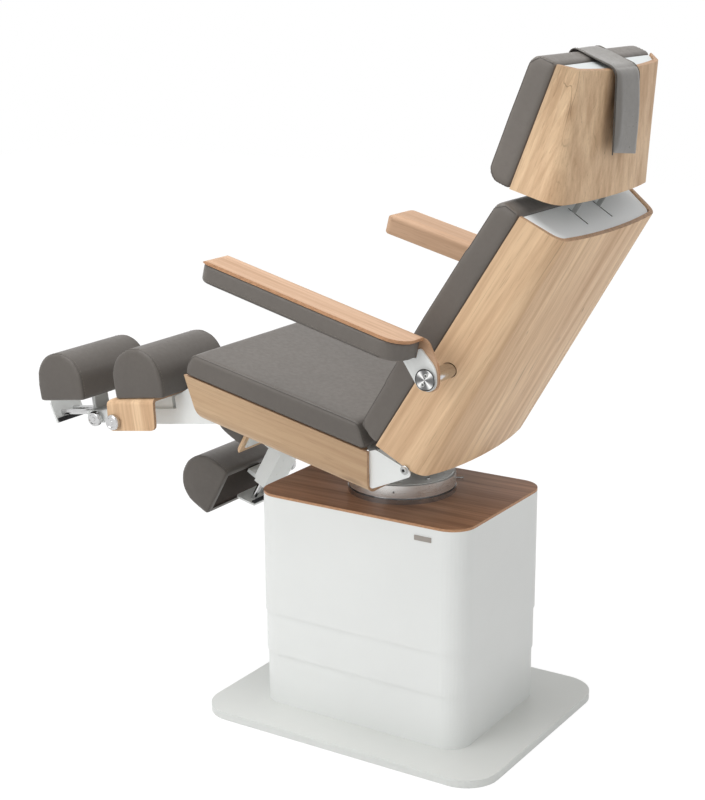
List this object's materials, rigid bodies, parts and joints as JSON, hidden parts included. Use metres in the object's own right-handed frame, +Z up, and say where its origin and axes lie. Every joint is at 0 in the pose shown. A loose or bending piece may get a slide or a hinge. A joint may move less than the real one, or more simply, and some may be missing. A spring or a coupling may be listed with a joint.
{
  "type": "podiatry chair",
  "caption": "Podiatry treatment chair with telescoping pedestal, swivelling tilting seat, reclining back, folding armrests, sliding headrest and swinging extendable leg supports.",
  "frame": {"origin": "centre of the base plate's underside, on the floor", "axes": "+Z up, -Y the way a sitter faces, +X the sitter's left"},
  "size_m": [0.837, 1.4377, 1.5253],
  "materials": {
    "white_paint": "satin",
    "ply_wood": "matte",
    "top_wood": "satin",
    "leatherette": "matte",
    "chrome": "polished",
    "steel": "brushed",
    "rubber": "matte",
    "motor_plastic": "matte"
  },
  "bodies": {
    "base": {"base_plate": "white_paint", "lower_shroud": "white_paint", "lift_tube_lower": "steel", "lift_motor": "motor_plastic"},
    "mid_stage": {"middle_shroud": "white_paint", "lift_tube_middle": "steel"},
    "head_stage": {"upper_shroud": "white_paint", "pedestal_frame": "steel", "pedestal_top": "top_wood", "badge_plate": "steel", "turntable_base": "steel"},
    "swivel": {"turntable_ring": "steel", "tilt_bracket": "white_paint", "tilt_axle": "steel"},
    "lock_pin": {"swivel_lock_pin": "steel"},
    "seat": {"seat_frame": "steel", "seat_shell": "ply_wood", "seat_end_frame": "white_paint", "seat_cushion": "leatherette", "leg_axle": "steel", "tilt_drive": "steel", "recline_pins": "steel"},
    "back": {"back_frame": "steel", "back_shell": "ply_wood", "back_end_plates": "white_paint", "back_cushion": "leatherette", "arm_shafts": "chrome"},
    "arm_left": {"left_arm_shell": "ply_wood", "left_arm_pad": "leatherette", "left_arm_plate": "white_paint"},
    "arm_right": {"right_arm_shell": "ply_wood", "right_arm_pad": "leatherette", "right_arm_plate": "white_paint"},
    "head_slide": {"headrest_bars": "steel"},
    "headrest": {"headrest_frame": "steel", "headrest_shell": "ply_wood", "headrest_end_plates": "white_paint", "headrest_cushion": "leatherette", "neck_strap": "leatherette", "neck_roll": "leatherette"},
    "leg_left": {"left_leg_beam": "white_paint", "left_leg_saddle": "ply_wood", "left_calf_pad": "leatherette"},
    "foot_left": {"left_foot_slide": "white_paint", "left_foot_pad": "leatherette"},
    "plate_left": {"left_rods": "chrome", "left_foot_plate": "white_paint", "left_foot_strip": "rubber"},
    "rod_knob_left": {"left_rod_knob": "chrome"},
    "slide_knob_left": {"left_slide_knob": "chrome"},
    "leg_right": {"right_leg_beam": "white_paint", "right_leg_saddle": "ply_wood", "right_calf_pad": "leatherette"},
    "foot_right": {"right_foot_slide": "white_paint", "right_foot_pad": "leatherette"},
    "plate_right": {"right_rods": "chrome", "right_foot_plate": "white_paint", "right_foot_strip": "rubber"},
    "rod_knob_right": {"right_rod_knob": "chrome"},
    "slide_knob_right": {"right_slide_knob": "chrome"}
  },
  "joints": [
    {"name": "mid_lift", "type": "slide", "parent": "base", "child": "mid_stage", "axis": [0, 0, 1], "range_m": [-0.1075, 0.08]},
    {"name": "head_lift", "type": "slide", "parent": "mid_stage", "child": "head_stage", "axis": [0, 0, 1], "range_m": [-0.1075, 0.08]},
    {"name": "swivel_turn", "type": "hinge", "parent": "head_stage", "child": "swivel", "pos_m": [0, 0, 0.56], "axis": [0, 0, 1], "range_deg": [-90, 90]},
    {"name": "lock_pin_pull", "type": "slide", "parent": "head_stage", "child": "lock_pin", "axis": [-0.4226, 0.9063, 0], "range_m": [0, 0.008], "stiffness_N_per_m": 600, "springref_m": -0.004},
    {"name": "seat_tilt", "type": "hinge", "parent": "swivel", "child": "seat", "pos_m": [0, 0.02, 0.618], "axis": [-1, 0, 0], "range_deg": [-12.2, 10]},
    {"name": "back_recline", "type": "hinge", "parent": "seat", "child": "back", "pos_m": [0, 0.157, 0.667], "axis": [-1, 0, 0], "range_deg": [0, 52]},
    {"name": "arm_left_lift", "type": "hinge", "parent": "back", "child": "arm_left", "pos_m": [0.335, 0.26, 0.8955], "axis": [-1, 0, 0], "range_deg": [-50, 100]},
    {"name": "arm_right_lift", "type": "hinge", "parent": "back", "child": "arm_right", "pos_m": [-0.335, 0.26, 0.8955], "axis": [-1, 0, 0], "range_deg": [-50, 100]},
    {"name": "headrest_height", "type": "slide", "parent": "back", "child": "head_slide", "axis": [0, 0.5395, 0.842], "range_m": [0, 0.15]},
    {"name": "headrest_tilt", "type": "hinge", "parent": "head_slide", "child": "headrest", "pos_m": [0, 0.4727, 1.2629], "axis": [-1, 0, 0], "range_deg": [0, 33]},
    {"name": "leg_left_swing", "type": "hinge", "parent": "seat", "child": "leg_left", "pos_m": [0.134, -0.3803, 0.7782], "axis": [1, 0, 0], "range_deg": [-20, 65]},
    {"name": "foot_left_reach", "type": "slide", "parent": "leg_left", "child": "foot_left", "axis": [0, -0.989, -0.1478], "range_m": [-0.075, 0.02]},
    {"name": "plate_left_reach", "type": "slide", "parent": "foot_left", "child": "plate_left", "axis": [0, -0.989, -0.1478], "range_m": [-0.095, 0.06]},
    {"name": "rod_knob_left_turn", "type": "hinge", "parent": "leg_left", "child": "rod_knob_left", "pos_m": [0.134, -0.62448, 0.65981], "axis": [1, 0, 0], "range_deg": [0, 90]},
    {"name": "slide_knob_left_turn", "type": "hinge", "parent": "foot_left", "child": "slide_knob_left", "pos_m": [0.134, -0.74777, 0.63228], "axis": [1, 0, 0], "range_deg": [0, 90]},
    {"name": "leg_right_swing", "type": "hinge", "parent": "seat", "child": "leg_right", "pos_m": [-0.134, -0.3803, 0.7782], "axis": [1, 0, 0], "range_deg": [-72.5, 12.5]},
    {"name": "foot_right_reach", "type": "slide", "parent": "leg_right", "child": "foot_right", "axis": [0, -0.4848, -0.8746], "range_m": [0, 0.09]},
    {"name": "plate_right_reach", "type": "slide", "parent": "foot_right", "child": "plate_right", "axis": [0, -0.4848, -0.8746], "range_m": [-0.035, 0.12]},
    {"name": "rod_knob_right_turn", "type": "hinge", "parent": "leg_right", "child": "rod_knob_right", "pos_m": [-0.134, -0.42533, 0.5299], "axis": [1, 0, 0], "range_deg": [0, 90]},
    {"name": "slide_knob_right_turn", "type": "hinge", "parent": "foot_right", "child": "slide_knob_right", "pos_m": [-0.134, -0.45091, 0.46518], "axis": [1, 0, 0], "range_deg": [0, 90]}
  ],
  "couplings": [
    {"joint": "head_lift", "follows": "mid_lift", "ratio": 1}
  ]
}
